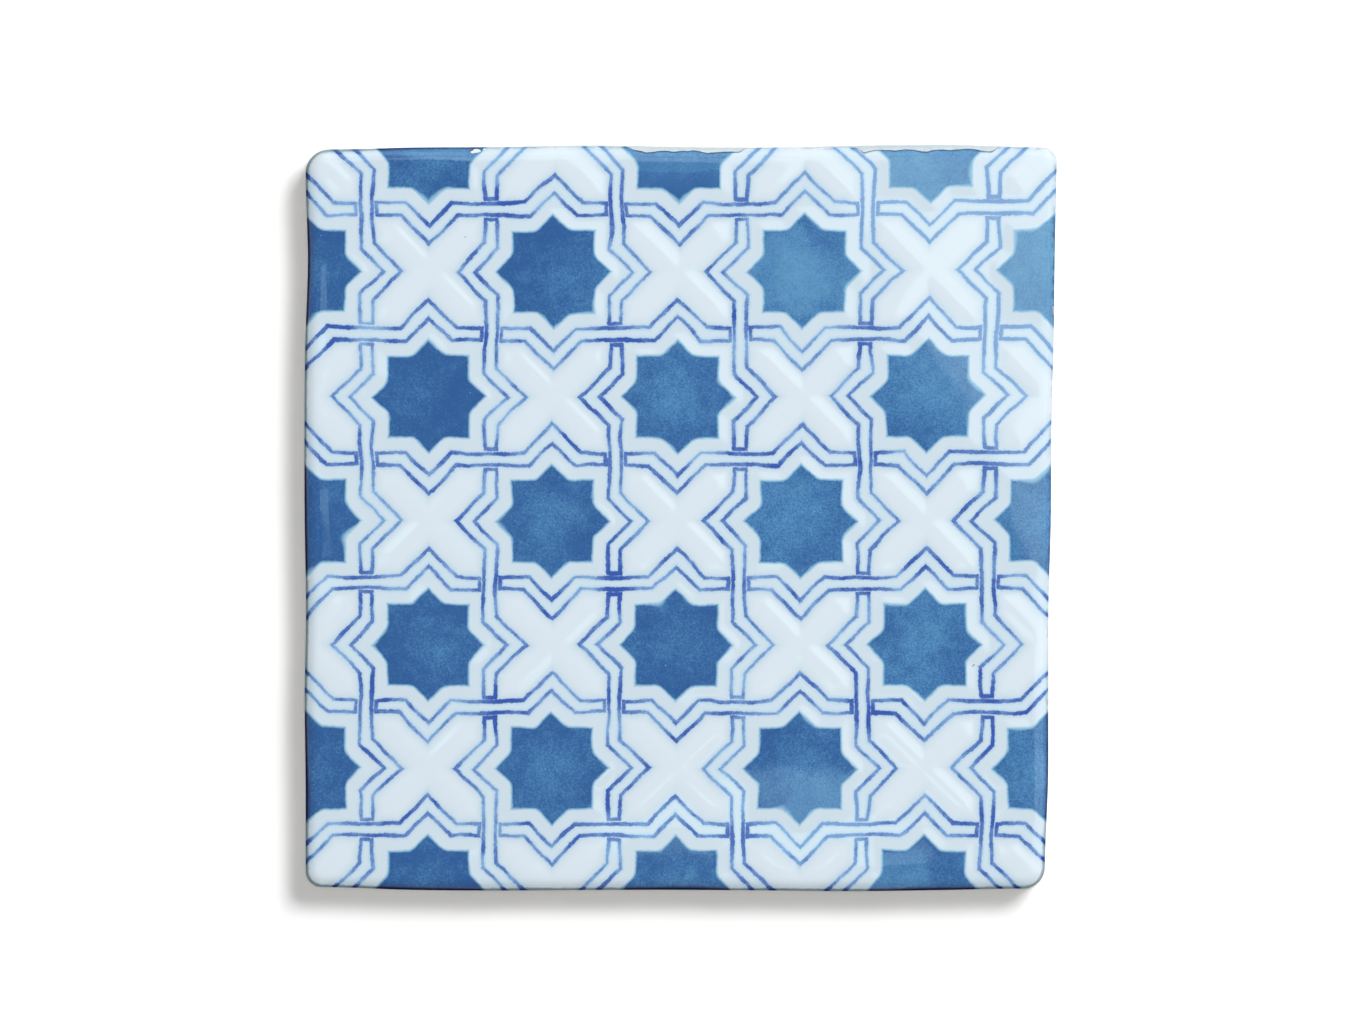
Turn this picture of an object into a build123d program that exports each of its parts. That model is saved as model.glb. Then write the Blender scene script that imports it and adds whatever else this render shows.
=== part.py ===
"""A square glazed wall tile with a hand-pressed look, in millimetres.

The tile is one fired piece. It lies on its back: the back is on the plane Z = 0, the glazed face looks up
along +Z, and the origin is the middle of the back. Its four corners aren't quite square, each side wanders
a little, the walls spread towards the back, and the face is pillowed and gently rippled. The back has a
grid of shallow moulded pockets, with ribs between them that key into the tile adhesive.
"""

from build123d import *
import os
from dataclasses import dataclass
from math import cos, pi, sin, tan

NODE = "glazed_tile"

# Overall size, measured over the four corner points before they are rounded
top_edge_width = 131.2
left_edge_height = 128.8
thickness = 10.0

# How far the corners leave a true rectangle
right_edge_lean = 2.2
top_right_rise = 0.4
bottom_right_drop = 0.3

# Radius of each corner in plan
top_left_radius = 4.2
top_right_radius = 2.6
bottom_right_radius = 3.8
bottom_left_radius = 2.8


@dataclass
class Side:
    """One side of the tile: how far it stands out from the straight line between its corners.

    It is given at even stations, going clockwise, for the foot of the wall and for the edge of the face.
    """

    foot: tuple
    face: tuple


top_side = Side(
    foot=(0.20, 0.36, 0.56, 0.26, 0.10, 0.44, 0.50),
    face=(0.33, 0.28, 0.38, -0.05, 0.10, -0.05, 0.10),
)
right_side = Side(
    foot=(-0.20, -0.05, -0.15, 0.00, -0.15, 0.15, 0.20),
    face=(-0.03, 0.00, -0.18, 0.03, -0.10, 0.03, 0.35),
)
bottom_side = Side(
    foot=(0.25, 0.55, 0.35, 0.35, 0.45, 0.60, 0.40),
    face=(0.30, 0.47, 0.42, 0.32, 0.38, 0.50, 0.46),
)
left_side = Side(
    foot=(0.05, 0.25, 0.00, 0.20, 0.25, 0.10, -0.35),
    face=(0.00, 0.15, -0.08, 0.15, 0.20, 0.08, -0.40),
)

# The walls and their edges
wall_spread = 0.38
face_edge_radius = 2.0
back_edge_chamfer = 0.4

# The face: it falls away towards its edges, and two crossing ripples run over it
pillow_drop = 0.35
pillow_power = 4
ripple_height = 0.05
ripple_pitch_along = 47.0
ripple_pitch_across = 38.0
ripple_turn = 0.45
face_spans = 14
face_margin = 1.04

# The back: a square grid of shallow pockets
pocket_rows = 6
pocket_side = 15.0
pocket_depth = 0.8
pocket_corner_chamfer = 1.5
pocket_wall_draft = 20.0
rib_width = 4.0


def corner_points(spread):
    """The four corners of a level section, clockwise from the top left, spread outwards from the face's."""
    half_width = top_edge_width / 2 - wall_spread + spread
    half_height = left_edge_height / 2 - wall_spread + spread
    return [
        Vector(-half_width, half_height),
        Vector(half_width, half_height + top_right_rise),
        Vector(half_width - right_edge_lean, -half_height - bottom_right_drop),
        Vector(-half_width, -half_height),
    ]


def corner_arc(corner, before, after, radius):
    """The arc that rounds a corner: its start, middle and end point."""
    back_along = (before - corner).normalized()
    on_along = (after - corner).normalized()
    half_angle = back_along.get_angle(on_along) * pi / 360
    bisector = (back_along + on_along).normalized()
    reach = radius / tan(half_angle)
    middle = corner + bisector * (radius / sin(half_angle) - radius)
    return corner + back_along * reach, middle, corner + on_along * reach


def wandering_side(start, end, wander):
    """A side between two corner arcs, tangent to both, that leaves its straight line at even stations."""
    along = end - start
    outwards = Vector(-along.Y, along.X).normalized()
    stations = [
        start + along * ((place + 1) / (len(wander) + 1)) + outwards * offset
        for place, offset in enumerate(wander)
    ]
    return Edge.make_spline([start, *stations, end], tangents=[along, along])


def section(spread, wanders, height):
    """A level section of the tile at this height, with the wander of each of its four sides."""
    corners = corner_points(spread)
    radii = (top_left_radius, top_right_radius, bottom_right_radius, bottom_left_radius)
    arcs = [
        corner_arc(corners[place], corners[place - 1], corners[(place + 1) % 4], radius)
        for place, radius in enumerate(radii)
    ]
    edges = []
    for place, wander in enumerate(wanders):
        edges.append(Edge.make_three_point_arc(*arcs[place]))
        edges.append(wandering_side(arcs[place][2], arcs[(place + 1) % 4][0], wander))
    return Face(Wire(edges)).moved(Location((0, 0, height)))


def face_height(x, y):
    """Height of the glazed face over a place on the tile."""
    across = 2 * x / top_edge_width
    along = 2 * y / left_edge_height
    pillow = pillow_drop * (across**pillow_power + along**pillow_power) / 2
    first_way = x * cos(ripple_turn) + y * sin(ripple_turn)
    second_way = y * cos(ripple_turn) - x * sin(ripple_turn)
    ripple = cos(2 * pi * first_way / ripple_pitch_along) + cos(2 * pi * second_way / ripple_pitch_across)
    return thickness - 2 * ripple_height + ripple_height * ripple - pillow


def under_the_face():
    """A block with the glazed face on its top, larger than the tile on every side."""
    marks = [face_margin * (place / face_spans - 0.5) for place in range(face_spans + 1)]
    xs = [mark * top_edge_width for mark in marks]
    ys = [mark * left_edge_height for mark in marks]
    points = [[Vector(x, y, face_height(x, y)) for x in xs] for y in ys]
    face = Face.make_surface_from_array_of_points(points, tol=0.001)
    return Solid.extrude(face, Vector(0, 0, -2 * thickness))


def tile_blank():
    """The tile without its pockets: spreading walls under a rippled face, with its edges softened."""
    sides = (top_side, right_side, bottom_side, left_side)
    foot = section(wall_spread, [side.foot for side in sides], 0)
    rim = section(0, [side.face for side in sides], thickness)
    walls = loft([foot, rim], ruled=True)
    blank = walls & under_the_face()
    blank = fillet(blank.faces().sort_by(Axis.Z)[-1].edges(), face_edge_radius)
    blank = chamfer(blank.faces().sort_by(Axis.Z)[0].edges(), back_edge_chamfer)
    middle = blank.bounding_box().center()
    return blank.moved(Location((-middle.X, -middle.Y, 0)))


def back_pockets():
    """The shallow pockets pressed into the back, with their draft, about the middle of the tile."""
    pocket = chamfer(Rectangle(pocket_side, pocket_side).vertices(), pocket_corner_chamfer)
    pitch = pocket_side + rib_width
    places = GridLocations(pitch, pitch, pocket_rows, pocket_rows)
    return [place * extrude(pocket, pocket_depth, taper=pocket_wall_draft) for place in places]


os.makedirs("parts", exist_ok=True)
export_step(tile_blank() - back_pockets(), f"parts/{NODE}.step")
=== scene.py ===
"""A square glazed wall tile with a hand-pressed look, lying on a pale floor and seen from straight above.

The tile is one fired piece, built here as one mesh in place of its plain solid: a pillowed and rippled face
with the low relief of its glaze, a rolled edge, a wall that the glaze runs down unevenly, a bare foot and a
keyed back. The blue stars and straps are worked out in its material from the same lattice as the relief.
Sizes are in millimetres, and a length becomes metres where a mesh, lamp or camera takes it.
"""

import logging
from dataclasses import dataclass, field
from enum import Enum
from math import cos, floor, pi, sin, sqrt, tan
from typing import Callable, Union

import bmesh
import bpy
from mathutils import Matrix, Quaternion, Vector


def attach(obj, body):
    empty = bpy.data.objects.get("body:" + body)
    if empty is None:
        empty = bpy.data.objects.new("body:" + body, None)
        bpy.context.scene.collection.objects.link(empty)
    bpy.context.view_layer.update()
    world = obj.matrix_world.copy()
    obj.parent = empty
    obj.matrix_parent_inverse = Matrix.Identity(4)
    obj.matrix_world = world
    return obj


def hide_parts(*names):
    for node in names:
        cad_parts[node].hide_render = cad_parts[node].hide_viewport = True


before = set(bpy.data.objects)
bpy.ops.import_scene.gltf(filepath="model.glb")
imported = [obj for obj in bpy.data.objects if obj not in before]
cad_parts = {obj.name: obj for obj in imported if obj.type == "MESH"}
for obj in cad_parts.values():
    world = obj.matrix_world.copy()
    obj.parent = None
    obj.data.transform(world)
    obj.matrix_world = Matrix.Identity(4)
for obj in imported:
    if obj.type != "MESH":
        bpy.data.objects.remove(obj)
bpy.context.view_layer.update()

NODE = "glazed_tile"
MM = 0.001
WHOLE_TURN = 2 * pi
log = logging.getLogger("wall_tile")


@dataclass(frozen=True)
class Signal:
    """A number that a material works out at each place on a surface, with the usual arithmetic."""

    tree: bpy.types.NodeTree
    socket: bpy.types.NodeSocket

    def worked(self, operation: str, *others: "Value") -> "Signal":
        """Passes this number, and others after it, through a Math node with this operation."""
        node = self.tree.nodes.new("ShaderNodeMath")
        node.operation = operation
        for socket, value in zip(node.inputs, (self, *others)):
            feed(self.tree, socket, value)
        return Signal(self.tree, node.outputs[0])

    def __add__(self, other: "Value") -> "Signal":
        """This number plus another."""
        return self.worked("ADD", other)

    def __sub__(self, other: "Value") -> "Signal":
        """This number less another."""
        return self.worked("SUBTRACT", other)

    def __mul__(self, other: "Value") -> "Signal":
        """This number times another."""
        return self.worked("MULTIPLY", other)

    def __rsub__(self, other: float) -> "Signal":
        """A plain number less this one."""
        return self.worked("MULTIPLY_ADD", -1.0, other)

    def __truediv__(self, other: float) -> "Signal":
        """This number over a plain one."""
        return self.worked("DIVIDE", other)

    def __abs__(self) -> "Signal":
        """The size of this number."""
        return self.worked("ABSOLUTE")

    __radd__ = __add__
    __rmul__ = __mul__


Value = Union[Signal, float]


def feed(tree: bpy.types.NodeTree, socket: bpy.types.NodeSocket, value: Value) -> None:
    """Links a signal to a socket, or sets a plain number on it."""
    if isinstance(value, Signal):
        tree.links.new(value.socket, socket)
    else:
        socket.default_value = value


def least(one: Value, other: Value) -> Value:
    """The smaller of two values."""
    return one.worked("MINIMUM", other) if isinstance(one, Signal) else min(one, other)


def most(one: Value, other: Value) -> Value:
    """The larger of two values."""
    return one.worked("MAXIMUM", other) if isinstance(one, Signal) else max(one, other)


def whole(value: Value) -> Value:
    """The value without its fraction, rounded down."""
    return value.worked("FLOOR") if isinstance(value, Signal) else float(floor(value))


def is_odd(value: Value) -> Value:
    """1 for an odd whole number and 0 for an even one."""
    return value.worked("FLOORED_MODULO", 2.0) if isinstance(value, Signal) else value % 2


def wave(value: Value, pitch: float, start: float = 0.0) -> Value:
    """A sine of the value that repeats at each pitch and starts this many turns into a wave."""
    turns = value * (WHOLE_TURN / pitch) + WHOLE_TURN * start
    return turns.worked("SINE") if isinstance(turns, Signal) else sin(turns)


def ramp(value: float, low: float, high: float) -> float:
    """Rises smoothly from 0 at the low mark to 1 at the high mark."""
    share = min(max((value - low) / (high - low), 0.0), 1.0)
    return share * share * (3 - 2 * share)


def bank(value: float, low: float, high: float) -> float:
    """Rises from 0 at the low mark to 1 at the high mark as an even slope with a short bend at each end."""
    bend = 0.15

    def climbed(share: float) -> float:
        """The height after a share of the way, for a slope that only begins with a bend."""
        return max(share - bend / 2, 0.0) if share > bend else max(share, 0.0) ** 2 / (2 * bend)

    share = (value - low) / (high - low)
    return (climbed(share) - climbed(share + bend - 1)) / (1 - bend)


def smooth_range(value: Signal, low: Value, high: Value) -> Signal:
    """Rises smoothly from 0 at the low mark to 1 at the high mark, which may be the smaller of the two."""
    node = value.tree.nodes.new("ShaderNodeMapRange")
    node.interpolation_type = "SMOOTHSTEP"
    feed(value.tree, node.inputs["Value"], value)
    feed(value.tree, node.inputs["From Min"], low)
    feed(value.tree, node.inputs["From Max"], high)
    return Signal(value.tree, node.outputs["Result"])


def blended(one: Value, other: Value, share: Value) -> Value:
    """Goes from one value to the other as the share goes from 0 to 1."""
    return one + (other - one) * share


def weighed(parts: tuple[Value, ...], weights: tuple[float, ...]) -> Value:
    """The sum of the parts, each times its weight."""
    total = parts[0] * weights[0]
    for part, weight in zip(parts[1:], weights[1:]):
        total = total + part * weight
    return total


@dataclass(frozen=True)
class Pigment:
    """A colour as it looks in daylight, from 0 to 255 in red, green and blue."""

    red: float
    green: float
    blue: float

    def rgba(self) -> tuple[float, float, float, float]:
        """The colour in the linear scale that shaders take, opaque."""
        shares = [channel / 255 for channel in (self.red, self.green, self.blue)]
        light = [share / 12.92 if share < 0.04045 else ((share + 0.055) / 1.055) ** 2.4 for share in shares]
        return (*light, 1.0)


@dataclass(frozen=True)
class Straps:
    """Where a place lies among the woven straps, in cells.

    Each distance is from the middle line of a strap, positive towards the cross that it runs round and
    negative towards the star.
    """

    over: Value
    under: Value
    into_cross: Value
    into_star: Value
    from_crossing: Value


@dataclass(frozen=True)
class StarLattice:
    """The traditional interlace of eight-pointed stars and crosses, drawn by hand on a square lattice.

    Crosses and stars take turns in its cells. A strap runs along each border between cells, bends away
    from every star, and passes over and under the straps that it meets. The cells and the middle are in
    millimetres, and the rest in cells. A rise is where the glaze begins and ends to climb beside a strap,
    and the drifts are the weights of the drawing's slant and bow, in the order that place gives them.
    """

    cell_width: float = 21.60
    cell_height: float = 21.55
    cells_to_edge: int = 3
    middle_x: float = -0.66
    middle_y: float = -0.60
    strap_half_width: float = 0.052
    strap_pinch: float = 0.007
    bend_start: float = 0.2075
    cap_distance: float = 0.082
    star_flat: float = 0.328
    star_tip: float = 0.458
    star_rounding: float = 0.042
    cross_rise: tuple[float, float] = (0.092, 0.184)
    star_rise: tuple[float, float] = (0.085, 0.177)
    drift_across: tuple[float, ...] = (-0.0057, -0.0066, 0.0030, 0.0029, 0.0025)
    drift_down: tuple[float, ...] = (0.0014, -0.0036, -0.0067, 0.0024, -0.0021)

    def place(self, x: Value, y: Value) -> tuple[Value, Value]:
        """Turns a place on the tile into lattice cells, through the slant and bow of the hand drawing.

        Args:
            x: Millimetres to the right of the tile's middle.
            y: Millimetres up from the tile's middle.

        Returns:
            Cells to the right of the middle cross, and cells down from it.
        """
        across = (x - self.middle_x) / (self.cells_to_edge * self.cell_width)
        down = (self.middle_y - y) / (self.cells_to_edge * self.cell_height)
        bow = across * across
        sag = down * down
        both = across * down
        drift_x = weighed((down, both, bow, sag, both * down), self.drift_across)
        drift_y = weighed((both, bow, sag, both * across, both * down), self.drift_down)
        return (across - drift_x) * self.cells_to_edge, (down - drift_y) * self.cells_to_edge

    def strap_distance(self, off: Value, along: Value, cross_ahead: Value) -> Value:
        """Distance from the middle line of one strap with its mitred bends.

        Args:
            off: Cells off the strap's straight border line.
            along: Cells along the strap from the middle of the nearest cell.
            cross_ahead: 1 where the cross is on the side that off points to, else 0.

        Returns:
            The distance in cells, positive towards the cross.
        """
        towards_cross = (cross_ahead * 2 - 1) * off
        bend = (towards_cross + along - self.bend_start) / sqrt(2)
        return least(towards_cross, bend)

    def straps(self, column: Value, row: Value) -> Straps:
        """Finds the two straps that are nearest to a place and which of them is on top.

        Args:
            column: Cells to the right of the middle cross.
            row: Cells down from the middle cross.

        Returns:
            The distances to both straps and to the middle of their crossing.
        """
        left, above = whole(column), whole(row)
        near_column, near_row = whole(column + 0.5), whole(row + 0.5)
        off_x, off_y = column - left - 0.5, row - above - 0.5
        upright = self.strap_distance(off_x, abs(row - near_row), is_odd(left + near_row))
        level = self.strap_distance(off_y, abs(column - near_column), is_odd(above + near_column))
        level_on_top = is_odd(left + above)
        swap = (level - upright) * level_on_top
        return Straps(
            over=upright + swap,
            under=level - swap,
            into_cross=least(upright, level),
            into_star=0.0 - most(upright, level),
            from_crossing=most(abs(off_x), abs(off_y)),
        )

    def beyond_star(self, column: Signal, row: Signal) -> Signal:
        """Distance out from the rim of the star in the nearest star cell, in cells, negative inside."""
        near_column, near_row = whole(column + 0.5), whole(row + 0.5)
        across, down = abs(column - near_column), abs(row - near_row)
        square = most(across, down) - self.star_flat
        diamond = (across + down - self.star_tip) / sqrt(2)
        inside = square.worked("SMOOTH_MIN", diamond, self.star_rounding)
        return inside + (1 - is_odd(near_column + near_row))

    def relief(self, x: float, y: float) -> float:
        """How far the glaze stands up at a place, from 0 on a strap to 1 on a star or cross."""
        straps = self.straps(*self.place(x, y))
        return max(bank(straps.into_cross, *self.cross_rise), bank(straps.into_star, *self.star_rise))


@dataclass(frozen=True)
class Side:
    """One side of the tile, going clockwise, and the corner that it starts at.

    The wander is how far the side stands out from the straight line between its corners at even stations,
    once for the foot of the wall and once for the edge of the face.
    """

    corner_radius: float
    foot: tuple[float, ...]
    face: tuple[float, ...]

    def wander(self, share: float, depth: float) -> float:
        """How far the side stands out at a share of its length and a share of the way down its wall."""
        line = [0.0, *(face + (foot - face) * depth for foot, face in zip(self.foot, self.face)), 0.0]
        place = share * (len(line) - 1)
        step = min(int(place), len(line) - 2)
        rest = place - step

        def slope(station: int) -> float:
            """The slope of the smooth line through a station."""
            return 0.0 if station in (0, len(line) - 1) else (line[station + 1] - line[station - 1]) / 2

        start, end = line[step], line[step + 1]
        curve = start + rest * rest * (3 - 2 * rest) * (end - start)
        return curve + rest * (1 - rest) * (slope(step) * (1 - rest) - slope(step + 1) * rest)


@dataclass(frozen=True)
class RoundedCorner:
    """A corner of a level ring: the ends of the sides that meet there, and the arc between them."""

    side_end: Vector
    side_start: Vector
    centre: Vector
    radius: float
    half_length: float


@dataclass
class Outline:
    """The plan of the tile: four hand-cut sides with a rounded corner between each two."""

    top_edge_width: float = 131.2
    left_edge_height: float = 128.8
    right_edge_lean: float = 2.2
    top_right_rise: float = 0.4
    bottom_right_drop: float = 0.3
    wall_spread: float = 0.38
    sides: tuple[Side, ...] = (
        Side(4.2, (0.20, 0.36, 0.56, 0.26, 0.10, 0.44, 0.50), (0.33, 0.28, 0.38, -0.05, 0.10, -0.05, 0.10)),
        Side(2.6, (-0.2, -0.05, -0.15, 0.0, -0.15, 0.15, 0.2), (-0.03, 0.0, -0.18, 0.03, -0.1, 0.03, 0.35)),
        Side(3.8, (0.25, 0.55, 0.35, 0.35, 0.45, 0.60, 0.40), (0.30, 0.47, 0.42, 0.32, 0.38, 0.50, 0.46)),
        Side(2.8, (0.05, 0.25, 0.00, 0.20, 0.25, 0.10, -0.35), (0.00, 0.15, -0.08, 0.15, 0.20, 0.08, -0.40)),
    )
    snug: float = 0.004
    least_radius: float = 0.3
    centring_steps: int = 200
    shift: Vector = field(default_factory=lambda: Vector((0.0, 0.0)))

    def __post_init__(self) -> None:
        """Moves the plan so that the middle of its box is the frame's."""
        shares = [step / self.centring_steps for step in range(self.centring_steps)]
        ring = [self.point(side, share, 1.0, 0.0) for side in range(4) for share in shares]
        across, along = [point.x for point in ring], [point.y for point in ring]
        self.shift = -Vector((min(across) + max(across), min(along) + max(along))) / 2

    def corners(self, spread: float) -> list[Vector]:
        """The four corner points, clockwise from the top left, spread outwards from the face's."""
        half_width = self.top_edge_width / 2 - self.wall_spread + spread - self.snug
        half_height = self.left_edge_height / 2 - self.wall_spread + spread - self.snug
        return [
            self.shift + Vector((-half_width, half_height)),
            self.shift + Vector((half_width, half_height + self.top_right_rise)),
            self.shift + Vector((half_width - self.right_edge_lean, -half_height - self.bottom_right_drop)),
            self.shift + Vector((-half_width, -half_height)),
        ]

    def from_sides(self, x: float, y: float) -> list[float]:
        """How far inside each straight side of the plan a place is, clockwise from the top side."""
        corners = self.corners(0.0)
        inside = []
        for place, corner in enumerate(corners):
            along = (corners[(place + 1) % 4] - corner).normalized()
            inside.append((corner.y - y) * along.x - (corner.x - x) * along.y)
        return inside

    def rounded(self, corners: list[Vector], place: int, inset: float) -> RoundedCorner:
        """Rounds one corner, counted clockwise from the top left, of a ring this far inside the wall."""
        corner = corners[place % 4]
        back = (corners[(place - 1) % 4] - corner).normalized()
        onward = (corners[(place + 1) % 4] - corner).normalized()
        radius = max(self.sides[place % 4].corner_radius - inset, self.least_radius)
        half_angle = back.angle(onward) / 2
        reach = radius / tan(half_angle)
        return RoundedCorner(
            side_end=corner + back * reach,
            side_start=corner + onward * reach,
            centre=corner + (back + onward).normalized() * (radius / sin(half_angle)),
            radius=radius,
            half_length=radius * (pi / 2 - half_angle),
        )

    def point(self, place: int, share: float, depth: float, inset: float) -> Vector:
        """A point on a level ring round the tile.

        Args:
            place: Which side, from 0 for the top one, clockwise.
            share: How far along the side, from the middle of one corner to the middle of the next.
            depth: How far down the wall, from 0 at the height of the face to 1 at the foot.
            inset: How far inside the wall the ring runs.

        Returns:
            The point, in millimetres.
        """
        corners = self.corners(self.wall_spread * depth - inset)
        first = self.rounded(corners, place, inset)
        second = self.rounded(corners, place + 1, inset)
        run = second.side_end - first.side_start
        lead = first.half_length
        travelled = share * (lead + run.length + second.half_length)
        along = run.normalized()
        outwards = Vector((-along.y, along.x))
        if travelled < lead:
            turn = (lead - travelled) / first.radius
            return first.centre + (outwards * cos(turn) - along * sin(turn)) * first.radius
        if travelled > lead + run.length:
            turn = (travelled - lead - run.length) / second.radius
            return second.centre + (outwards * cos(turn) + along * sin(turn)) * second.radius
        straight = (travelled - lead) / run.length
        return first.side_start + run * straight + outwards * self.sides[place].wander(straight, depth)


@dataclass(frozen=True)
class Patch:
    """An oval patch of the face that differs from the rest, and how strongly it does."""

    x: float
    y: float
    reach_x: float
    reach_y: float
    strength: float

    def nearness(self, x: Value, y: Value) -> Value:
        """How near a place is to the patch's middle: 1 there, and 0 at its rim and beyond."""
        far_x, far_y = (x - self.x) / self.reach_x, (y - self.y) / self.reach_y
        return most(1 - (far_x * far_x + far_y * far_y), 0.0)


# Chips in the glaze at the edge, where bare clay shows: their strength is their depth in millimetres
CHIPS = (
    Patch(-35.4, 63.75, 0.95, 0.42, 0.2),
    Patch(-36.1, 63.55, 0.5, 0.3, 0.1),
    Patch(-34.0, 64.05, 0.35, 0.22, 0.1),
    Patch(64.6, -9.0, 0.3, 1.2, 0.12),
    Patch(64.4, -17.0, 0.25, 0.8, 0.1),
    Patch(64.9, 36.0, 0.25, 1.5, 0.1),
)

# Clouds where the blue is paler, partly from thinly laid glaze and partly as painted reflection of the
# lamps, and one where it lies deep: their strength is a share
THIN_AND_LIT_CLOUDS = (
    Patch(19.5, 42.5, 11.5, 10.0, 0.95),
    Patch(26.0, -50.5, 11.0, 8.0, 0.8),
    Patch(37.0, -62.5, 8.0, 7.0, 0.7),
    Patch(44.0, 28.0, 9.0, 5.0, 0.5),
)

DEEP_CLOUD = Patch(0.0, 58.5, 12.0, 7.0, 0.9)

# Grey specks that the kiln left in the glaze, one of them a short dash
KILN_SPECKS = (
    Patch(50.75, -25.7, 0.2, 0.2, 0.9),
    Patch(50.95, -25.5, 0.2, 0.2, 0.9),
    Patch(-37.4, 48.8, 0.25, 0.25, 0.5),
)


@dataclass(frozen=True)
class GlazedFace:
    """The height of the glazed face over the back."""

    outline: Outline
    lattice: StarLattice
    thickness: float = 10.0
    pillow_drop: float = 0.35
    pillow_power: int = 4
    ripple_height: float = 0.03
    ripple_pitch_along: float = 47.0
    ripple_pitch_across: float = 38.0
    ripple_turn: float = 0.45
    relief_height: float = 0.063
    shoulder_starts: tuple[float, ...] = (3.0, 2.9, 3.9, 3.9)
    shoulder_reach: float = 2.2
    shoulder_fall: float = 0.045
    chips: tuple[Patch, ...] = CHIPS

    def height(self, x: float, y: float) -> float:
        """Height of the face over a place on the tile, in millimetres."""
        place = Vector((x, y)) - self.outline.shift
        across = 2 * place.x / self.outline.top_edge_width
        along = 2 * place.y / self.outline.left_edge_height
        pillow = self.pillow_drop * (across**self.pillow_power + along**self.pillow_power) / 2
        first_way = place.x * cos(self.ripple_turn) + place.y * sin(self.ripple_turn)
        second_way = place.y * cos(self.ripple_turn) - place.x * sin(self.ripple_turn)
        ripple = cos(WHOLE_TURN * first_way / self.ripple_pitch_along)
        ripple += cos(WHOLE_TURN * second_way / self.ripple_pitch_across)
        lifted = self.thickness + self.ripple_height * (ripple - 2) - pillow
        uneven = 1 + 0.4 * wave(x + y, 23.0, 0.1) + 0.2 * wave(x - y, 13.7, 0.4)
        for from_side, start in zip(self.outline.from_sides(x, y), self.shoulder_starts):
            fall = max((start - from_side) / self.shoulder_reach, 0.0)
            lifted -= self.shoulder_fall * fall * fall * uneven
        lifted -= sum(chip.strength * chip.nearness(x, y) for chip in self.chips)
        return lifted - self.relief_height * (1 - self.lattice.relief(x, y))


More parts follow.
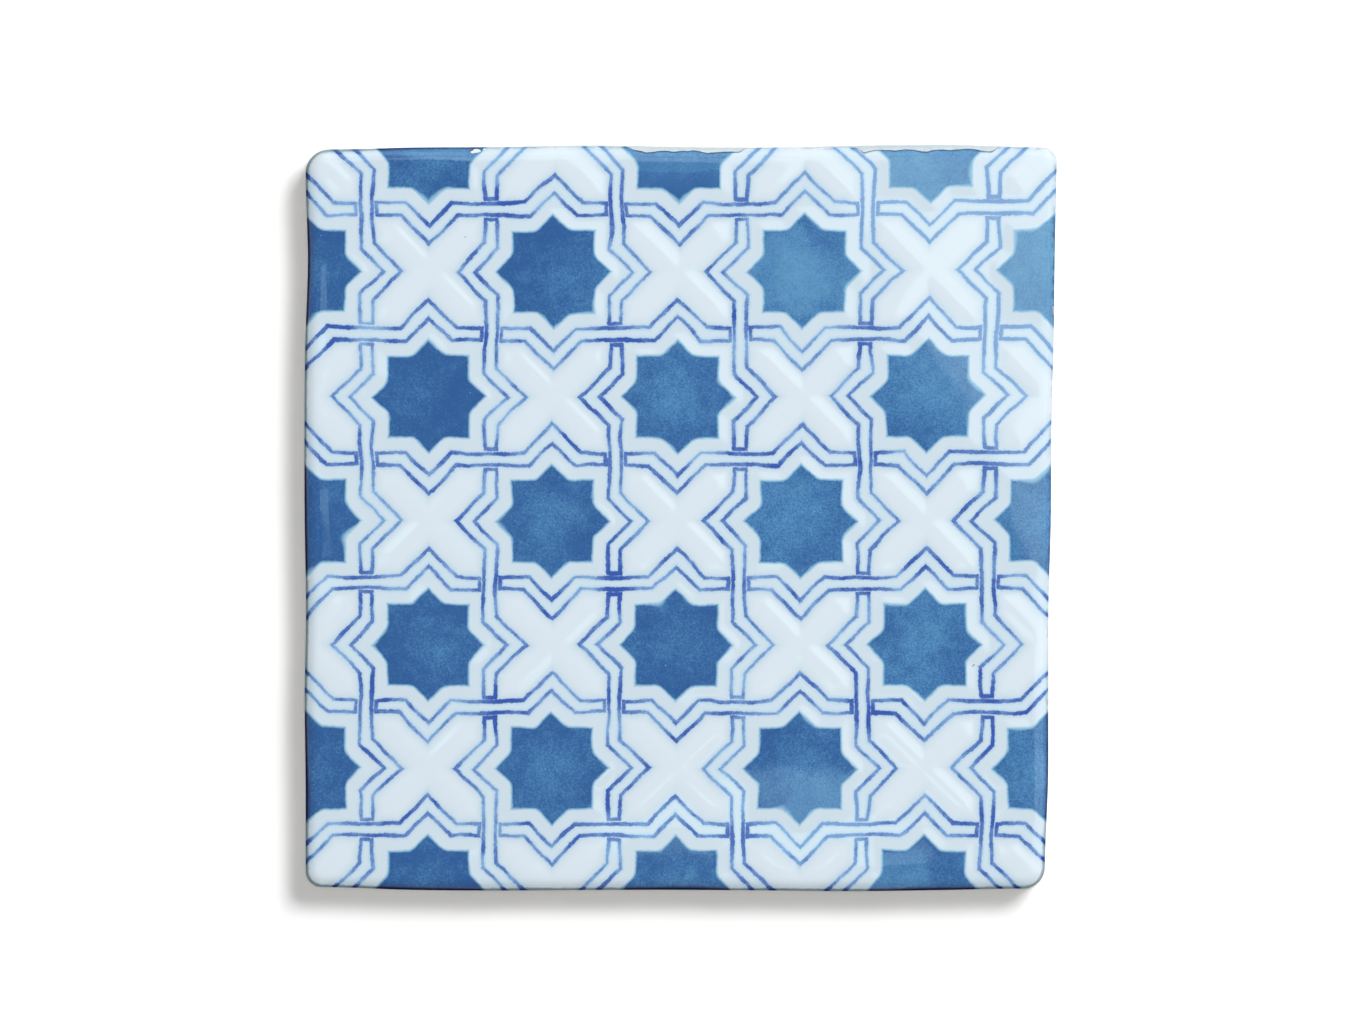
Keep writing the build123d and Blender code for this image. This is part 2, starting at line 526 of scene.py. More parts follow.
@dataclass
class PressedTile:
    """The whole tile as one closed mesh."""

    outline: Outline
    face: GlazedFace
    grid_steps: int = 264
    edge_radius: float = 2.0
    roll_rows: int = 9
    wall_levels: tuple[float, ...] = (6.6, 5.3, 3.9, 2.8, 1.9, 1.3, 0.9, 0.6)
    flare: float = 0.2
    flare_height: float = 2.0
    flare_top: float = 8.0
    back_chamfer: float = 0.4
    pocket_rows: int = 6
    pocket_side: float = 15.0
    pocket_depth: float = 0.8
    pocket_corner: float = 1.5
    pocket_corner_steps: int = 4
    pocket_wall_draft: float = 20.0
    rib_width: float = 4.0

    def side_and_share(self, across: float, along: float) -> tuple[int, float]:
        """The side, and the share of it, that a place on the rim of the square grid belongs to."""
        at_rim = 1 - 1e-6
        if along >= at_rim:
            return 0, (across + 1) / 2
        if across >= at_rim:
            return 1, (1 - along) / 2
        if along <= -at_rim:
            return 2, (1 - across) / 2
        return 3, (along + 1) / 2

    def on_face(self, rims: list[list[Vector]], across: float, along: float) -> Vector:
        """Spreads the square grid over the plan of the face between its four rims.

        Args:
            rims: The points on the rim of each side, clockwise.
            across: The place on the grid from -1 at the left to 1 at the right.
            along: The place on the grid from -1 at the bottom to 1 at the top.

        Returns:
            The place on the tile.
        """
        top, right, bottom, left = rims
        column = round((across + 1) / 2 * self.grid_steps)
        row = round((along + 1) / 2 * self.grid_steps)
        u, v = column / self.grid_steps, row / self.grid_steps
        level = bottom[-1 - column] * (1 - v) + top[column] * v
        upright = left[row] * (1 - u) + right[-1 - row] * u
        square = bottom[-1] * (1 - u) * (1 - v) + bottom[0] * u * (1 - v)
        square += top[0] * (1 - u) * v
        square += top[-1] * u * v
        return level + upright - square

    def rolled(self, side: int, share: float, angle: float) -> Vector:
        """A point on the rolled edge, at this angle up from the wall."""
        inset = self.edge_radius * (1 - cos(angle))
        drop = self.edge_radius * (1 - sin(angle))
        near = self.outline.point(side, share, self.edge_radius / self.face.thickness, inset)
        height = self.face.height(near.x, near.y) - drop
        plan = self.outline.point(side, share, 1 - height / self.face.thickness, inset)
        return Vector((plan.x, plan.y, height))

    def on_wall(self, side: int, share: float, level: float, inset: float) -> Vector:
        """A point on the wall at a level over the back."""
        above_foot = ramp(level, self.back_chamfer, self.flare_height)
        tuck = self.flare * above_foot * (1 - ramp(level, self.flare_height, self.flare_top))
        plan = self.outline.point(side, share, 1 - level / self.face.thickness, inset + tuck)
        return Vector((plan.x, plan.y, level))

    def grow_row(
        self, mesh: bmesh.types.BMesh, rim: list, marks: tuple, placed: Callable[[int, float], Vector]
    ) -> list:
        """Extrudes the open rim of the mesh by one row and puts each new point in its place.

        Args:
            mesh: The mesh that grows.
            rim: The edges of its open rim.
            marks: The layers that hold each point's place on the square grid.
            placed: Gives a point from its side and its share along that side.

        Returns:
            The edges of the new rim.
        """
        grown = bmesh.ops.extrude_edge_only(mesh, edges=rim)["geom"]
        for point in (item for item in grown if isinstance(item, bmesh.types.BMVert)):
            point.co = placed(*self.side_and_share(point[marks[0]], point[marks[1]]))
        return [item for item in grown if isinstance(item, bmesh.types.BMEdge) and item.is_boundary]

    def build_back(self, mesh: bmesh.types.BMesh, rim: list) -> None:
        """Adds the grid of pockets on the back and joins it to the open rim at the foot of the wall."""
        rows = self.pocket_rows
        half_size = (self.pocket_side + self.rib_width) * rows / 2
        plate = bmesh.ops.create_grid(mesh, x_segments=rows, y_segments=rows, size=half_size)["verts"]
        cells = list({face for point in plate for face in point.link_faces})
        bmesh.ops.reverse_faces(mesh, faces=cells)
        bmesh.ops.inset_individual(mesh, faces=cells, thickness=self.rib_width / 2)
        draft = self.pocket_depth * tan(self.pocket_wall_draft * pi / 180)
        bmesh.ops.inset_individual(mesh, faces=cells, thickness=draft, depth=-self.pocket_depth)
        upright = {edge for cell in cells for point in cell.verts for edge in point.link_edges}
        upright -= {edge for cell in cells for edge in cell.edges}
        size, steps = self.pocket_corner, self.pocket_corner_steps
        bmesh.ops.bevel(
            mesh, geom=list(upright), affect="EDGES", offset=size, segments=steps, profile=0.5, material=-1
        )
        foot = set(rim)
        border = [edge for edge in mesh.edges if edge.is_boundary and edge not in foot]
        bmesh.ops.bridge_loops(mesh, edges=rim + border)

    def build(self) -> bpy.types.Object:
        """Builds the tile.

        Returns:
            The tile's object, in metres, with its place in its mesh.
        """
        mesh = bmesh.new()
        marks = tuple(mesh.verts.layers.float.new(name) for name in ("across", "along"))
        bmesh.ops.create_grid(mesh, x_segments=self.grid_steps, y_segments=self.grid_steps, size=1.0)
        shares = [step / self.grid_steps for step in range(self.grid_steps + 1)]
        rims = [[self.rolled(side, share, pi / 2).xy for share in shares] for side in range(4)]
        for point in mesh.verts:
            point[marks[0]], point[marks[1]] = point.co.x, point.co.y
            plan = self.on_face(rims, point.co.x, point.co.y)
            point.co = (plan.x, plan.y, self.face.height(plan.x, plan.y))
        rim = [edge for edge in mesh.edges if edge.is_boundary]
        for row in range(1, self.roll_rows + 1):
            angle = pi / 2 * (1 - row / self.roll_rows)
            rim = self.grow_row(mesh, rim, marks, lambda side, share: self.rolled(side, share, angle))
        for level in (*self.wall_levels, self.back_chamfer):
            rim = self.grow_row(mesh, rim, marks, lambda side, share: self.on_wall(side, share, level, 0.0))
        rim = self.grow_row(
            mesh, rim, marks, lambda side, share: self.on_wall(side, share, 0.0, self.back_chamfer)
        )
        self.build_back(mesh, rim)
        bmesh.ops.scale(mesh, verts=mesh.verts, vec=(MM, MM, MM))
        bmesh.ops.recalc_face_normals(mesh, faces=mesh.faces)
        data = bpy.data.meshes.new("pressed_tile")
        mesh.to_mesh(data)
        mesh.free()
        data.polygons.foreach_set("use_smooth", [True] * len(data.polygons))
        tile = bpy.data.objects.new("pressed_tile", data)
        bpy.context.scene.collection.objects.link(tile)
        return tile


@dataclass(frozen=True)
class GlazeEnd:
    """The uneven line on the wall where the glaze stops and bare clay begins."""

    level: float = 6.7
    bare_level: float = 9.0
    bare_from: float = 60.0
    bare_full_from: float = 61.0
    bare_stretches: tuple[tuple[float, float], ...] = ((-11.0, 13.0), (29.0, 57.0))
    stretch_taper: float = 3.0

    def height(self, x: Signal, y: Signal) -> Signal:
        """The level over the back at which the glaze stops, near a place on the wall."""
        round_tile = wave(x + y * 0.31, 23.0, 0.2) * 0.35 + wave(y - x * 0.27, 17.0, 0.6) * 0.3
        round_tile = round_tile + wave(x - y * 0.8, 6.1, 0.1) * 0.14 + self.level
        at_top = self.bare_level + wave(x, 5.3, 0.3) * 0.12 + wave(x, 12.1, 0.7) * 0.14
        bare: Value = 0.0
        for start, end in self.bare_stretches:
            begun = smooth_range(x, start, start + self.stretch_taper)
            bare = bare + begun * smooth_range(x, end, end - self.stretch_taper)
        bare = bare * smooth_range(y, self.bare_from, self.bare_full_from)
        return blended(round_tile, at_top, bare)


@dataclass(frozen=True)
class Spot:
    """A place on the tile in millimetres, and how ragged an edge is there, in two separate ways."""

    x: Signal
    y: Signal
    z: Signal
    ragged: Signal
    ragged_too: Signal


@dataclass(frozen=True)
class Laid:
    """Where the colour lies thinly and is paled by painted reflection, or lies deep, how patchy it is, and
    where the edge greys and darkens from pooling glaze and painted shade.
    """

    thin_and_lit: Signal
    deep: Signal
    patchy: Signal
    rim: Signal
    shade: Signal


@dataclass(frozen=True)
class GlazeFinish:
    """The decorated glaze over the face and wall, and the bare clay below it."""

    lattice: StarLattice
    glaze_end: GlazeEnd
    cross_white: Pigment = Pigment(217, 230, 239)
    margin_white: Pigment = Pigment(207, 223, 234)
    strap_white: Pigment = Pigment(205, 224, 236)
    star_deep: Pigment = Pigment(38, 88, 149)
    star_pale: Pigment = Pigment(88, 150, 199)
    # Paler blues where the glaze lies thinly, which also carry painted reflection of the lamps
    star_thin_and_lit: Pigment = Pigment(100, 158, 196)
    star_thin_and_lit_deep: Pigment = Pigment(68, 124, 178)
    # Navy of the very edge: pooling glaze, and painted shade towards the lower left
    star_pooling_and_shade: Pigment = Pigment(26, 56, 120)
    star_halo: Pigment = Pigment(150, 198, 224)
    line_dark: Pigment = Pigment(52, 86, 172)
    line_pale: Pigment = Pigment(136, 176, 222)
    # Paler line colour where the glaze lies thinly, which also carries painted reflection
    line_thin_and_lit: Pigment = Pigment(126, 168, 213)
    line_halo: Pigment = Pigment(160, 202, 230)
    # Greying of the steep edge: pooling glaze, and painted shade towards the lower left
    pooling_and_shade_tint: Pigment = Pigment(158, 172, 174)
    pinhole: Pigment = Pigment(150, 184, 205)
    kiln_speck: Pigment = Pigment(104, 134, 146)
    clay: Pigment = Pigment(248, 246, 238)
    clay_shade: Pigment = Pigment(236, 231, 218)
    bare_glaze: Pigment = Pigment(208, 220, 226)
    bare_glaze_shade: Pigment = Pigment(184, 202, 212)
    chip_clay: Pigment = Pigment(226, 234, 236)
    fired_rim: Pigment = Pigment(104, 128, 146)
    glaze_roughness: float = 0.028
    clay_roughness: float = 0.85
    clay_grain: float = 0.03
    # Away from the lower left, the edge greys only in random dashes of pooling glaze, at this share
    pooled_least: float = 0.48
    line_half_width: float = 0.0134
    line_softness: float = 0.005
    line_wobble: float = 0.014
    line_raggedness: float = 0.0026
    blush_reach: float = 0.028
    blush_strength: float = 0.62
    # How far thinly laid glaze and painted reflection pale the lines and the stars
    thin_and_lit_in_lines: float = 0.74
    thin_and_lit_in_stars: float = 0.85

    def material(self) -> bpy.types.Material:
        """Builds the material.

        Returns:
            A material that reads object coordinates only.
        """
        material = bpy.data.materials.new("decorated_glaze")
        material.use_nodes = True
        palette = Palette(material.node_tree)
        spot = Spot(*palette.place(), palette.noise(0.7, 1, 2.0), palette.noise(0.7, 1, 4.0))
        colour = self.decorated(palette, spot)
        over_end = spot.z - (self.glaze_end.height(spot.x, spot.y) + palette.noise(1.8, 2, 8.0) * 0.12)
        chipping = self.chipping(spot)
        chipped = smooth_range(chipping, 0.3, 0.5)
        broken_edge = most(1 - smooth_range(over_end, 0.06, 0.3), smooth_range(chipping, 0.0, 0.2))
        colour = palette.mixed(broken_edge, colour, palette.times(colour, self.fired_rim))
        colour = palette.mixed(chipped, colour, self.chip_clay)
        glazed = smooth_range(over_end, -0.04, 0.06)
        colour = palette.mixed(glazed, self.bare_clay(palette, spot), colour)
        glazed = glazed * (1 - chipped)
        roughness = blended(self.clay_roughness, self.glaze_roughness, glazed)
        gloss = glazed * smooth_range(spot.z, 8.5, 9.2)
        grain = palette.noise(0.16, 3, 10.0) * (1 - glazed) * self.clay_grain

        shader = material.node_tree.nodes["Principled BSDF"]
        feed(palette.tree, shader.inputs["Base Color"], colour)
        feed(palette.tree, shader.inputs["Roughness"], roughness)
        feed(palette.tree, shader.inputs["Specular IOR Level"], gloss * 0.5)
        feed(palette.tree, shader.inputs["Normal"], palette.bumped(grain))
        return material

    def decorated(self, palette: "Palette", spot: Spot) -> Signal:
        """The colour of the glaze: the drawn pattern, greyed on the steep edge where it pools and by painted
        shade towards the lower left, with its kiln specks.
        """
        column, row = self.lattice.place(spot.x, spot.y)
        column = column + palette.noise(7, 2, 1.0) * self.line_wobble + spot.ragged * self.line_raggedness
        row = row + palette.noise(7, 2, 3.0) * self.line_wobble + spot.ragged_too * self.line_raggedness
        laid = self.laid(palette, spot)
        colour = self.drawn(palette, column, row, laid)
        # Painted shade: the steep edge greys, fully towards the lower left and in dashes of pooling glaze
        # elsewhere
        colour = palette.mixed(laid.shade, colour, palette.times(colour, self.pooling_and_shade_tint))
        speck: Value = 0.0
        for mark in KILN_SPECKS:
            speck = most(mark.nearness(spot.x, spot.y) * mark.strength, speck)
        return palette.mixed(smooth_range(speck, 0.0, 1.0), colour, self.kiln_speck)

    def laid(self, palette: "Palette", spot: Spot) -> Laid:
        """Works out how the colour lies over the face, the rolled edge and the wall, with the painted
        reflection and painted shade in it.
        """
        x, y, z = spot.x, spot.y, spot.z
        patchy = palette.noise(3.5, 3, 20.0)
        # Paler towards the upper right, nearest the lamps, and in clouds: partly thinly laid glaze, partly
        # painted reflection
        thin_and_lit = smooth_range((x + y) / 52.0 + palette.noise(20, 2, 14.0) * 0.5, 0.95, 1.85)
        for cloud in THIN_AND_LIT_CLOUDS:
            near = smooth_range(cloud.nearness(x, y) + patchy * 0.45, 0.05, 0.75)
            thin_and_lit = most(thin_and_lit, near * cloud.strength)
        # A paler band along the top edge: glaze thinning over the roll, and a painted reflection of the
        # lamps along it
        top_band_thin_and_lit = y + wave(x, 37.0, 0.3) * 0.35 + patchy * 0.25 + smooth_range(x, -60.0, 0.0) * 3.0
        thin_and_lit = most(thin_and_lit, smooth_range(top_band_thin_and_lit, 63.0, 63.5) * 0.95)
        deep = smooth_range(DEEP_CLOUD.nearness(x, y) + patchy * 0.3, 0.1, 0.8) * DEEP_CLOUD.strength
        dashes = smooth_range(palette.noise(1.3, 2, 21.0), -0.4, 0.7) * smooth_range(z, 7.4, 8.3)
        # Painted shade: towards the lower left, away from the lamps, the edge darkens fully; elsewhere only
        # dashes of pooling glaze darken it
        shade_to_lower_left = smooth_range(x + y + palette.noise(9, 2, 19.0) * 8, 60.0, -20.0)
        pooling_and_shade = blended(dashes * self.pooled_least, 1.0, shade_to_lower_left)
        # The steep edge and the rim at its top grey and darken by that mix of pooling glaze and painted
        # shade
        steep = 1 - smooth_range(z + spot.ragged * 0.1, 8.5, 9.05)
        rim = (1 - smooth_range(z + spot.ragged_too * 0.1, 8.75, 9.3)) * pooling_and_shade
        return Laid(thin_and_lit, deep, patchy, rim, steep * pooling_and_shade)

    def chipping(self, spot: Spot) -> Signal:
        """How near each place is to the middle of a chip, from 0 to 1. Chips stay high on the wall."""
        chipping: Value = 0.0
        for chip in CHIPS:
            nearness = chip.nearness(spot.x + spot.ragged * 0.07, spot.y + spot.ragged_too * 0.07)
            chipping = most(nearness, chipping)
        return chipping * smooth_range(spot.z + spot.ragged_too * 0.15, 7.9, 8.6)

    def bare_clay(self, palette: "Palette", spot: Spot) -> Signal:
        """The mottled clay below the glaze, under a thinly laid bluish film on the wall of the top side."""
        mottled = smooth_range(palette.noise(1.1, 4, 9.0), -0.6, 1.6)
        clay = palette.mixed(mottled, self.clay, self.clay_shade)
        filmed = palette.mixed(mottled, self.bare_glaze, self.bare_glaze_shade)
        film = smooth_range(spot.y, 62.0, 64.0) * smooth_range(spot.z, 0.3, 1.5)
        return palette.mixed(film, clay, filmed)

    def drawn(self, palette: "Palette", column: Signal, row: Signal, laid: Laid) -> Signal:
        """Works out the drawn pattern.

        Args:
            palette: The material's palette.
            column: Cells to the right of the middle cross.
            row: Cells down from the middle cross.
            laid: How the colour lies.

        Returns:
            The colour at each place.
        """
        straps = self.lattice.straps(column, row)
        star = self.lattice.beyond_star(column, row)
        weight = palette.noise(6, 2, 5.0)
        rough = palette.noise(0.45, 2, 11.0)
        grain = palette.noise(0.3, 1, 16.0)
        near_crossing = 1 - smooth_range(straps.from_crossing, 0.05, 0.32)
        half_line = self.line_half_width + weight * 0.0044 + near_crossing * 0.0022
        # Lines widen at the rim, where pooling glaze and painted shade lie
        half_line = half_line + rough * 0.004 + laid.rim * 0.003
        ink, blush, strap = self.brushed(palette, straps, near_crossing, half_line)
        white = self.whites(palette, straps, strap, blush)
        # The stars' blue is painted paler towards the right and top as painted light
        blue = self.blues(palette, column * 3 - row, star, grain, laid)

        colour = palette.mixed(1 - smooth_range(star, 0.0, 0.018), white, self.star_halo)
        fade = smooth_range(palette.noise(6, 2, 22.0), 0.1, 1.1) * -0.035 - 0.014
        colour = palette.mixed(1 - smooth_range(star, fade, 0.006), colour, blue)
        depth = weight * 0.9 + palette.noise(1.7, 2, 13.0) * 0.35 + near_crossing * 0.35 + grain * 0.25
        # Lines darken at the rim too: pooling glaze and painted shade
        depth = smooth_range(depth + laid.rim * 1.5, -0.85, 0.87)
        line_blue = palette.mixed(depth, self.line_pale, self.line_dark)
        # Lines pale where the glaze lies thinly and where reflection is painted
        line_blue = palette.mixed(laid.thin_and_lit * self.thin_and_lit_in_lines, line_blue, self.line_thin_and_lit)
        return palette.mixed(ink, colour, line_blue)

    def brushed(
        self, palette: "Palette", straps: Straps, near_crossing: Signal, half_line: Signal
    ) -> tuple[Signal, Signal, Signal]:
        """The ink of the lines round the straps, the soft blush beside them, and the straps themselves."""
        strap_edge = self.lattice.strap_half_width - near_crossing * self.lattice.strap_pinch
        strap_edge = strap_edge + palette.noise(4.5, 1, 17.0) * 0.006

        def line(distance: Signal) -> tuple[Signal, Signal]:
            """The ink of a brushed line at a distance from its middle, and the soft blush beside it."""
            off = abs(distance)
            return (
                1 - smooth_range(off, half_line - self.line_softness, half_line + self.line_softness),
                1 - smooth_range(off, half_line - 0.006, half_line + self.blush_reach),
            )

        over_off, under_off = abs(straps.over), abs(straps.under)
        in_over = 1 - smooth_range(over_off, strap_edge - 0.003, strap_edge + 0.003)
        in_under = 1 - smooth_range(under_off, strap_edge - 0.003, strap_edge + 0.003)
        cap = self.lattice.cap_distance
        shown = smooth_range(over_off, cap - 0.006, cap - 0.002)
        line_edge = strap_edge + half_line
        within = 1 - smooth_range(under_off, line_edge - 0.004, line_edge + 0.004)
        lines = zip(line(over_off - strap_edge), line(under_off - strap_edge), line(over_off - cap))
        ink, blush = (most(most(over, under * shown), end * within) for over, under, end in lines)
        clotted = smooth_range(palette.noise(9, 1, 15.0), 0.85, 1.0) * (1 - shown) * within * (1 - in_over)
        return most(ink, clotted), blush, most(in_over, in_under * shown)

    def whites(self, palette: "Palette", straps: Straps, strap: Signal, blush: Signal) -> Signal:
        """The whites of the crosses, their margins and the straps, tinged by the blush of the lines."""
        crossed = smooth_range(straps.into_cross, 0.07, 0.15)
        milky = smooth_range(palette.noise(1.6, 2, 18.0), 0.2, 2.2) * 0.5
        white = palette.mixed(crossed, self.margin_white, self.cross_white)
        white = palette.mixed(strap, white, self.strap_white)
        white = palette.mixed(milky, white, self.strap_white)
        return palette.mixed(blush * self.blush_strength, white, self.line_halo)

    def blues(self, palette: "Palette", slope: Signal, star: Signal, grain: Signal, laid: Laid) -> Signal:
        """The clouded blue of the stars, paler towards the right and top as painted light, and in their
        middles, with its pinholes.
        """
        cloud = palette.noise(13, 2, 6.0) * 0.5 + palette.noise(2.4, 3, 12.0) * 0.3 + grain * 0.6
        # Painted light: paler towards the right and top, where the lamps light the tile
        cloud = cloud + smooth_range(0.0 - star, 0.06, 0.3) * 0.4 + slope * 0.04 - laid.deep
        blue = palette.mixed(smooth_range(cloud, -0.8, 1.8), self.star_deep, self.star_pale)
        # Stars pale where the glaze lies thinly and where reflection is painted
        thin_and_lit_cloud = smooth_range(cloud + laid.patchy * 0.3, -0.9, 1.5)
        thin_and_lit_blue = palette.mixed(thin_and_lit_cloud, self.star_thin_and_lit_deep, self.star_thin_and_lit)
        blue = palette.mixed(laid.thin_and_lit * self.thin_and_lit_in_stars, blue, thin_and_lit_blue)
        # Navy at the rim: pooling glaze, and painted shade towards the lower left
        blue = palette.mixed(laid.rim, blue, self.star_pooling_and_shade)
        return palette.mixed(palette.pinholes(1.3, 0.10, 0.93), blue, self.pinhole)


@dataclass(frozen=True)
class Palette:
    """The nodes of one material, with the few things that its colours are mixed from."""

    tree: bpy.types.NodeTree

    def coordinates(self) -> bpy.types.NodeSocket:
        """The place on the object in metres."""
        found = self.tree.nodes.get("Texture Coordinate") or self.tree.nodes.new("ShaderNodeTexCoord")
        return found.outputs["Object"]

    def place(self) -> tuple[Signal, ...]:
        """The place on the object in millimetres."""
        parts = self.tree.nodes.new("ShaderNodeSeparateXYZ")
        self.tree.links.new(self.coordinates(), parts.inputs[0])
        return tuple(Signal(self.tree, parts.outputs[axis]) / MM for axis in range(3))

    def noise(self, scale: float, detail: float, kind: float) -> Signal:
        """A noise over the object.

        Args:
            scale: Millimetres to one blotch.
            detail: How many finer octaves it has.
            kind: Which noise of its sort.

        Returns:
            A value that wanders about 0, mostly between -1 and 1.
        """
        node = self.tree.nodes.new("ShaderNodeTexNoise")
        node.noise_dimensions = "4D"
        node.inputs["Scale"].default_value = 1 / (scale * MM)
        node.inputs["Detail"].default_value = detail
        node.inputs["W"].default_value = kind
        self.tree.links.new(self.coordinates(), node.inputs["Vector"])
        return (Signal(self.tree, node.outputs[0]) - 0.5) * 4.0

    def pinholes(self, spacing: float, radius: float, rareness: float) -> Signal:
        """Small round spots strewn over the surface.

        Args:
            spacing: Millimetres between places where a spot may be.
            radius: A spot's radius in millimetres.
            rareness: The share of those places that stay empty.

        Returns:
            1 inside a spot and 0 outside.
        """
        node = self.tree.nodes.new("ShaderNodeTexVoronoi")
        node.inputs["Scale"].default_value = 1 / (spacing * MM)
        self.tree.links.new(self.coordinates(), node.inputs["Vector"])
        chance = self.tree.nodes.new("ShaderNodeSeparateColor")
        self.tree.links.new(node.outputs["Color"], chance.inputs[0])
        picked = Signal(self.tree, chance.outputs[0]).worked("GREATER_THAN", rareness)
        edge = radius / spacing
        return (1 - smooth_range(Signal(self.tree, node.outputs["Distance"]), edge * 0.5, edge)) * picked

    def mixed(self, share: Value, one: Union[Pigment, Signal], other: Union[Pigment, Signal]) -> Signal:
        """Mixes two colours by a share from 0 to 1."""
        return self.combined("MIX", share, one, other)

    def times(self, one: Union[Pigment, Signal], other: Union[Pigment, Signal]) -> Signal:
        """One colour seen through the other, as through a coloured glaze."""
        return self.combined("MULTIPLY", 1.0, one, other)

    def combined(
        self, manner: str, share: Value, one: Union[Pigment, Signal], other: Union[Pigment, Signal]
    ) -> Signal:
        """Combines two colours in one Mix node."""
        node = self.tree.nodes.new("ShaderNodeMix")
        node.data_type = "RGBA"
        node.blend_type = manner
        feed(self.tree, node.inputs["Factor"], share)
        for socket, colour in zip((node.inputs[6], node.inputs[7]), (one, other)):
            feed(self.tree, socket, colour if isinstance(colour, Signal) else colour.rgba())
        return Signal(self.tree, node.outputs[2])

    def bumped(self, height: Signal) -> Signal:
        """The normal of the surface with a fine height in millimetres added to it."""
        node = self.tree.nodes.new("ShaderNodeBump")
        node.inputs["Distance"].default_value = MM
        feed(self.tree, node.inputs["Height"], height)
        return Signal(self.tree, node.outputs["Normal"])


class Use(Enum):
    """What a lamp is for, with its colour: to light things, or only to show in the glaze."""

    LIGHTING = (1.0, 1.0, 1.0)
    PANEL = (0.84, 1.0, 1.0)
    CARD = (0.6, 0.95, 1.0)


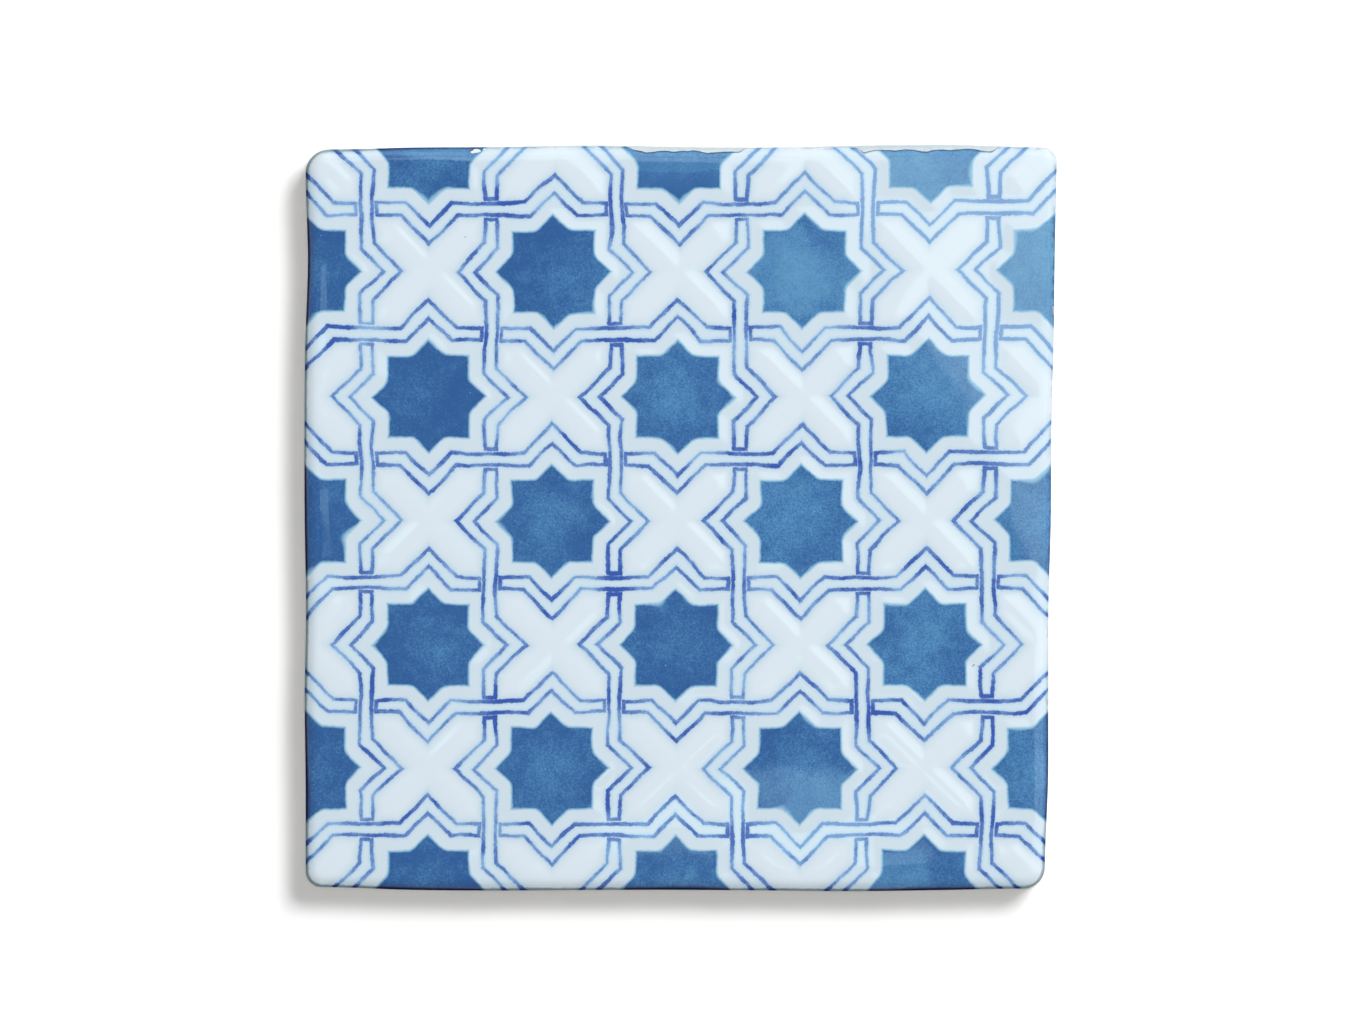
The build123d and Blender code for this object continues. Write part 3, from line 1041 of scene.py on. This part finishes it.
@dataclass(frozen=True)
class Studio:
    """The floor, lamps and camera. The lens, sensor and view are in millimetres, the rest in metres."""

    camera_lens: float = 300.0
    camera_sensor: float = 36.0
    view_width: float = 237.5
    camera_clip: tuple[float, float] = (0.05, 20.0)
    floor_size: float = 8.0
    floor_drop: float = 0.00005
    floor_white: float = 0.95
    floor_glow: float = 0.1
    sky_strength: float = 0.385
    key_distance: float = 3.0
    panel_turn: float = 0.645
    low_card_turn: float = 0.15
    card_height: float = 1.3
    card_radiance: float = 1.8

    def build_floor(self) -> None:
        """Lays the pale floor just under the tile."""
        mesh = bmesh.new()
        bmesh.ops.create_grid(mesh, x_segments=1, y_segments=1, size=self.floor_size / 2)
        bmesh.ops.translate(mesh, verts=mesh.verts, vec=(0.0, 0.0, -self.floor_drop))
        data = bpy.data.meshes.new("floor")
        mesh.to_mesh(data)
        mesh.free()
        floor_piece = bpy.data.objects.new("floor", data)
        bpy.context.scene.collection.objects.link(floor_piece)
        paper = bpy.data.materials.new("floor_paper")
        paper.use_nodes = True
        tree = paper.node_tree
        shader = tree.nodes["Principled BSDF"]
        shader.inputs["Base Color"].default_value = (*[self.floor_white] * 3, 1.0)
        shader.inputs["Roughness"].default_value = 1.0
        shader.inputs["Specular IOR Level"].default_value = 0.0
        shader.inputs["Emission Color"].default_value = (1.0, 1.0, 1.0, 1.0)
        feed(tree, shader.inputs["Emission Strength"], self.seen(tree) * self.floor_glow)
        data.materials.append(paper)

    def seen(self, tree: bpy.types.NodeTree) -> Signal:
        """1 for what the camera sees, by itself or in a mirror or a glass, and 0 for light on things."""
        path = tree.nodes.new("ShaderNodeLightPath")
        rays = ("Is Camera Ray", "Is Glossy Ray", "Is Transmission Ray")
        camera, mirror, glass = (Signal(tree, path.outputs[ray]) for ray in rays)
        return most(most(camera, mirror), glass)

    def lamp(
        self, name: str, size: tuple, place: Vector, aim: Vector, radiance: float, use: Use, turn: float = 0
    ) -> None:
        """Hangs one soft lamp.

        Args:
            name: The lamp's name.
            size: Its width and height in metres.
            place: Where its middle is.
            aim: What it faces.
            radiance: How bright its surface is, where 1 is white.
            use: What it is for.
            turn: How far it is turned about its own axis, in radians.
        """
        data = bpy.data.lights.new(name, "AREA")
        data.shape = "RECTANGLE"
        data.size, data.size_y = size
        data.energy = radiance * pi * size[0] * size[1]
        data.color = use.value
        lamp = bpy.data.objects.new(name, data)
        lamp.location = place
        lamp.rotation_mode = "QUATERNION"
        facing = (place - aim).to_track_quat("Z", "Y")
        lamp.rotation_quaternion = facing @ Quaternion((0.0, 0.0, 1.0), turn)
        lamp.visible_camera = False
        lamp.visible_glossy = use is not Use.LIGHTING
        lamp.visible_diffuse = use is Use.LIGHTING
        bpy.context.scene.collection.objects.link(lamp)

    def build_lights(self) -> None:
        """Sets the sky and the lamps."""
        world = bpy.data.worlds.new("studio_sky")
        bpy.context.scene.world = world
        world.use_nodes = True
        background = world.node_tree.nodes["Background"]
        background.inputs["Color"].default_value = (1.0, 1.0, 1.0, 1.0)
        background.inputs["Strength"].default_value = self.sky_strength
        centre, down = Vector((0.0, 0.0, 0.0)), Vector((0.0, 0.0, -1.0))
        key = Vector((0.455, 0.50, 1.0)).normalized() * self.key_distance
        self.lamp("key_lamp", (1.05, 1.05), key, centre, 20.9, Use.LIGHTING)
        panel = Vector((0.775, 0.581, 3.6))
        self.lamp("overhead_panel", (1.55, 3.2), panel, panel + down, 1.75, Use.PANEL, self.panel_turn)
        self.lamp("top_panel", (4.0, 2.4), Vector((0.6, 2.6, 1.8)), centre, 1.3, Use.PANEL)
        self.lamp("right_panel", (4.0, 2.4), Vector((2.6, 0.6, 1.8)), centre, 1.4, Use.PANEL)
        for name, size, x, y, turn in (
            ("low_card", (0.100, 0.025), 0.036, -0.106, self.low_card_turn),
            ("upper_left_card", (0.07, 0.035), -0.165, 0.057, 0.0),
            ("left_card", (0.07, 0.013), -0.165, -0.012, 0.0),
        ):
            card = Vector((x, y, self.card_height))
            self.lamp(name, size, card, card + down, self.card_radiance, Use.CARD, turn)

    def build_camera(self) -> None:
        """Puts the camera straight above the tile's middle."""
        data = bpy.data.cameras.new("camera")
        data.lens = self.camera_lens
        data.sensor_width = self.camera_sensor
        data.clip_start, data.clip_end = self.camera_clip
        camera = bpy.data.objects.new("camera", data)
        camera.location = (0.0, 0.0, self.view_width * MM * self.camera_lens / self.camera_sensor)
        bpy.context.scene.collection.objects.link(camera)
        bpy.context.scene.camera = camera

    def build(self) -> None:
        """Builds the studio."""
        self.build_floor()
        self.build_lights()
        self.build_camera()
        bpy.context.scene.view_settings.view_transform = "Standard"


def main() -> None:
    """Builds the tile and its studio."""
    logging.basicConfig(level=logging.INFO, format="%(message)s")
    lattice = StarLattice()
    outline = Outline()
    pressed = PressedTile(outline, GlazedFace(outline, lattice))
    tile = pressed.build()
    tile.data.materials.append(GlazeFinish(lattice, GlazeEnd()).material())
    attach(tile, "root")
    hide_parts(NODE)
    log.info("%s: %d faces", tile.name, len(tile.data.polygons))
    Studio().build()
    log.info("studio: floor, %d lamps, camera", len(bpy.data.lights))


if __name__ == "__main__":
    main()
